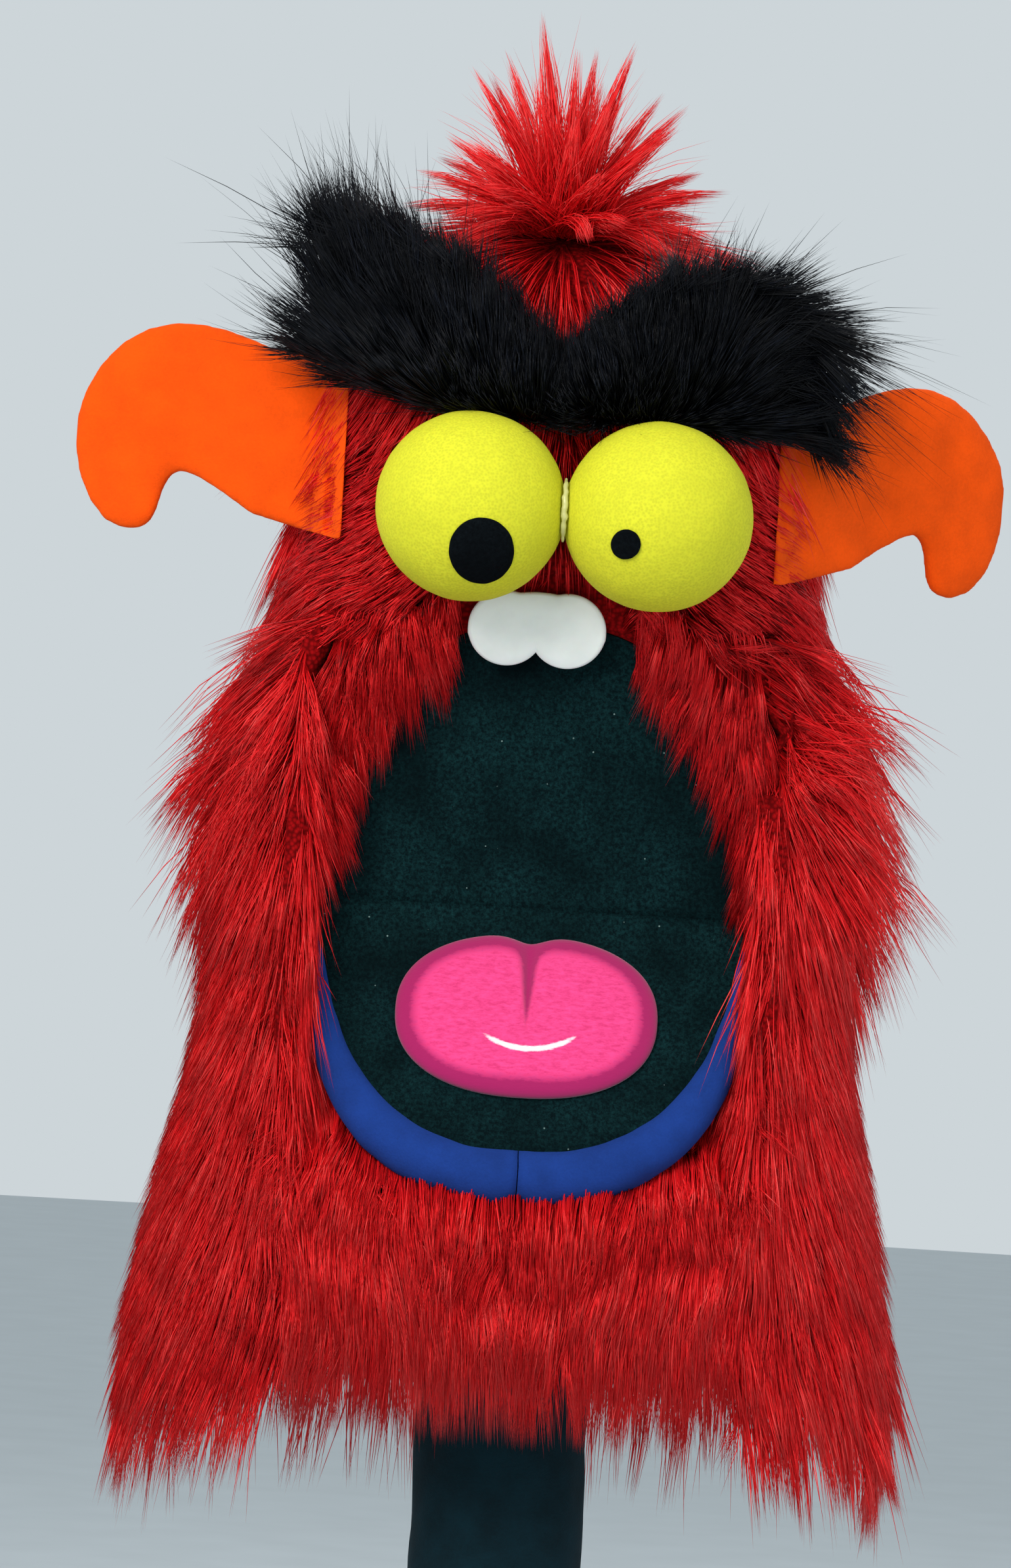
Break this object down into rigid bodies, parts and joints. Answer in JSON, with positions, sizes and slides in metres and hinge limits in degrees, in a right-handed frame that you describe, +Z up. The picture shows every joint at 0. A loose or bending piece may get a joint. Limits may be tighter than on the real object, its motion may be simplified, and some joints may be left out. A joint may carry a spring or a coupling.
{
  "type": "moving mouth puppet",
  "caption": "Hand-and-arm puppet with a shaggy fur head, a wide hinged mouth, foam-ball eyes, a bushy brow, floppy ears and a fleece forearm sleeve.",
  "frame": {"origin": "centre of the forearm sleeve's open end", "axes": "+Z up along the sleeve, towards the head; -Y the way the face looks; +X towards the puppet's own left ear, which is on the viewer's right"},
  "size_m": [0.3839, 0.2247, 0.7973],
  "materials": {
    "sleeve_fleece": "matte",
    "red_fur": "satin",
    "black_fur": "satin",
    "ear_fleece": "matte",
    "lip_fleece": "matte",
    "mouth_felt": "matte",
    "tongue_felt": "matte",
    "eye_foam": "matte",
    "pupil_felt": "matte",
    "tooth_foam": "satin",
    "glue": "gloss",
    "structure_foam": "matte",
    "webbing": "matte",
    "board": "matte",
    "rod_steel": "satin"
  },
  "bodies": {
    "sleeve": {"arm_sleeve": "sleeve_fleece", "sleeve_hem": "sleeve_fleece"},
    "head": {"hand_pocket": "sleeve_fleece", "head_foam": "structure_foam", "muzzle_roll": "red_fur", "upper_mouth_board": "board", "upper_mouth_felt": "mouth_felt", "hinge_rod": "rod_steel", "upper_hinge_loops": "webbing", "finger_strap": "webbing", "teeth": "tooth_foam", "left_eye": "eye_foam", "right_eye": "eye_foam", "left_pupil": "pupil_felt", "right_pupil": "pupil_felt", "eye_glue_bead": "glue", "brow_left": "black_fur", "brow_right": "black_fur", "crown_tuft": "red_fur", "fur_crown": "red_fur", "fur_face": "red_fur", "fur_left": "red_fur", "fur_right": "red_fur", "fur_back": "red_fur", "fur_bib": "red_fur"},
    "jaw": {"lower_mouth_board": "board", "lower_mouth_felt": "mouth_felt", "lower_hinge_loops": "webbing", "thumb_strap": "webbing", "tongue": "tongue_felt", "lip_left": "lip_fleece", "lip_right": "lip_fleece", "jaw_foam": "structure_foam", "chin_fur": "red_fur"},
    "left_ear": {"left_ear_front": "ear_fleece", "left_ear_core": "structure_foam", "left_ear_back": "ear_fleece"},
    "right_ear": {"right_ear_front": "ear_fleece", "right_ear_core": "structure_foam", "right_ear_back": "ear_fleece"}
  },
  "joints": [
    {"name": "head_nod", "type": "hinge", "parent": "sleeve", "child": "head", "pos_m": [0, 0, 0.315], "axis": [1, 0, 0], "range_deg": [-12, 15]},
    {"name": "jaw_close", "type": "hinge", "parent": "head", "child": "jaw", "pos_m": [0, -0.025, 0.435], "axis": [-1, 0, 0], "range_deg": [0, 117]},
    {"name": "left_ear_flop", "type": "hinge", "parent": "head", "child": "left_ear", "pos_m": [-0.11, -0.025, 0.617], "axis": [0, 0, 1], "range_deg": [-15, 15], "stiffness_Nm_per_rad": 0.05},
    {"name": "right_ear_flop", "type": "hinge", "parent": "head", "child": "right_ear", "pos_m": [0.11, -0.025, 0.609], "axis": [0, 0, 1], "range_deg": [-15, 15], "stiffness_Nm_per_rad": 0.05}
  ]
}
